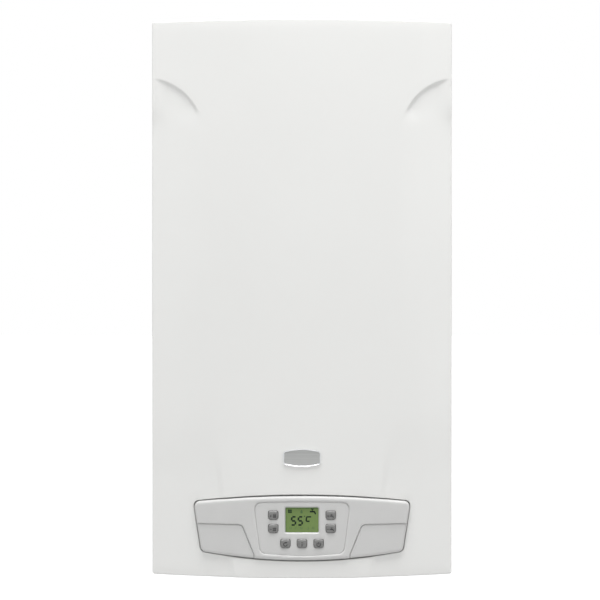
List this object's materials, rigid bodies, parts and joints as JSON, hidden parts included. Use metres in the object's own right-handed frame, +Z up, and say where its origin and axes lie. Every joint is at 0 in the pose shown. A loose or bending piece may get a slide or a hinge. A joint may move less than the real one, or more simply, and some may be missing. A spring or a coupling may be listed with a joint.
{
  "type": "combi boiler",
  "caption": "Wall-hung combination boiler with a bowed white front cover, a grey control panel with display and push buttons, and its burner, exchangers, fan, pump and valves inside.",
  "frame": {"origin": "middle of the wall rail's rear face, on the wall plane", "axes": "+Z up, the front faces -Y, +X to the right seen from the room, the wall is the plane y = 0"},
  "size_m": [0.4, 0.3002, 0.762],
  "materials": {
    "white_paint": "smooth powder coat, satin",
    "galvanised": "galvanised sheet, spangled",
    "steel": "brushed stainless",
    "aluminium": "cast, satin",
    "copper": "drawn copper tube",
    "brass": "machined brass",
    "grey_moulding": "fine moulded texture",
    "grey_button": "satin moulded",
    "green_display": "glossy display",
    "black_plastic": "moulded",
    "knob_red": "moulded",
    "knob_black": "moulded",
    "circuit_green": "solder mask",
    "clear_glass": "clear",
    "ceramic_white": "unglazed",
    "turbine_plastic": "moulded",
    "vessel_red": "semi-gloss paint",
    "pump_paint": "painted casting",
    "silicone": "matt silicone",
    "hose_braid": "braided cover"
  },
  "bodies": {
    "chassis": {"wall_rail": "galvanised", "back_panel": "galvanised", "side_panel_left": "white_paint", "side_panel_right": "white_paint", "top_panel": "galvanised", "base_plate": "galvanised", "flue_collar": "aluminium", "fascia": "grey_moulding", "key_panel": "grey_moulding", "lcd_window": "green_display", "control_box": "black_plastic", "main_circuit_board": "circuit_green", "chamber_shell": "galvanised", "chamber_lid": "galvanised", "sight_glass": "clear_glass", "firebox": "steel", "firebox_insulation": "ceramic_white", "burner": "steel", "gas_manifold": "aluminium", "ignition_electrode": "ceramic_white", "main_heat_exchanger": "copper", "fume_hood": "galvanised", "fan_housing": "galvanised", "fan_motor": "black_plastic", "air_pressure_switch": "black_plastic", "pressure_tube": "silicone", "expansion_vessel": "vessel_red", "vessel_hose": "hose_braid", "flow_group": "brass", "valve_actuator": "black_plastic", "return_group": "brass", "plate_heat_exchanger": "steel", "pump_housing": "pump_paint", "pump_motor": "pump_paint", "air_vent": "brass", "pressure_gauge": "black_plastic", "gauge_lens": "clear_glass", "gas_valve": "aluminium", "gas_inlet_pipe": "brass", "gas_supply_pipe": "copper", "flow_pipe": "copper", "return_pipe": "copper"},
    "cover": {"front_cover": "white_paint", "badge_plate": "steel", "cover_screw_left": "steel", "cover_screw_right": "steel"},
    "fan_rotor": {"fan_impeller": "aluminium"},
    "pump_rotor": {"pump_impeller": "turbine_plastic"},
    "turbine_rotor": {"flow_turbine": "turbine_plastic"},
    "diverter_stem": {"valve_stem": "steel"},
    "relief_knob": {"relief_valve_knob": "knob_red"},
    "filling_knob": {"filling_tap_knob": "knob_black"},
    "needle": {"gauge_needle": "knob_red"},
    "heating_up_key": {"button_heating_up": "grey_button"},
    "heating_down_key": {"button_heating_down": "grey_button"},
    "water_up_key": {"button_water_up": "grey_button"},
    "water_down_key": {"button_water_down": "grey_button"},
    "reset_key": {"button_reset": "grey_button"},
    "info_key": {"button_info": "grey_button"},
    "standby_key": {"button_standby": "grey_button"}
  },
  "joints": [
    {"name": "cover_swing", "type": "hinge", "parent": "chassis", "child": "cover", "pos_m": [0, -0.205, 0.0385], "axis": [-1, 0, 0], "range_deg": [0, 35]},
    {"name": "fan_spin", "type": "hinge", "parent": "chassis", "child": "fan_rotor", "pos_m": [-0.035, -0.1418, -0.0502], "axis": [0, 1, 0], "continuous": true},
    {"name": "pump_spin", "type": "hinge", "parent": "chassis", "child": "pump_rotor", "pos_m": [0.118, -0.095, -0.505], "axis": [0, 1, 0], "continuous": true},
    {"name": "turbine_spin", "type": "hinge", "parent": "chassis", "child": "turbine_rotor", "pos_m": [0.065, -0.095, -0.609], "axis": [0, 0, 1], "continuous": true},
    {"name": "diverter_slide", "type": "slide", "parent": "chassis", "child": "diverter_stem", "axis": [0, 0, 1], "range_m": [0, 0.008], "stiffness_N_per_m": 400},
    {"name": "relief_turn", "type": "hinge", "parent": "chassis", "child": "relief_knob", "pos_m": [0.098, -0.15, -0.624], "axis": [0, -1, 0], "range_deg": [0, 90]},
    {"name": "filling_turn", "type": "hinge", "parent": "chassis", "child": "filling_knob", "pos_m": [0.098, -0.132, -0.69], "axis": [0, 0, 1], "range_deg": [0, 180]},
    {"name": "needle_sweep", "type": "hinge", "parent": "chassis", "child": "needle", "pos_m": [-0.098, -0.15, -0.693], "axis": [0, 0, 1], "range_deg": [0, 270], "stiffness_Nm_per_rad": 0.0002},
    {"name": "heating_up_press", "type": "slide", "parent": "chassis", "child": "heating_up_key", "axis": [0, 1, 0], "range_m": [0, 0.0012], "stiffness_N_per_m": 600},
    {"name": "heating_down_press", "type": "slide", "parent": "chassis", "child": "heating_down_key", "axis": [0, 1, 0], "range_m": [0, 0.0012], "stiffness_N_per_m": 600},
    {"name": "water_up_press", "type": "slide", "parent": "chassis", "child": "water_up_key", "axis": [0, 1, 0], "range_m": [0, 0.0012], "stiffness_N_per_m": 600},
    {"name": "water_down_press", "type": "slide", "parent": "chassis", "child": "water_down_key", "axis": [0, 1, 0], "range_m": [0, 0.0012], "stiffness_N_per_m": 600},
    {"name": "reset_press", "type": "slide", "parent": "chassis", "child": "reset_key", "axis": [0, 1, 0], "range_m": [0, 0.0012], "stiffness_N_per_m": 600},
    {"name": "info_press", "type": "slide", "parent": "chassis", "child": "info_key", "axis": [0, 1, 0], "range_m": [0, 0.0012], "stiffness_N_per_m": 600},
    {"name": "standby_press", "type": "slide", "parent": "chassis", "child": "standby_key", "axis": [0, 1, 0], "range_m": [0, 0.0012], "stiffness_N_per_m": 600}
  ]
}
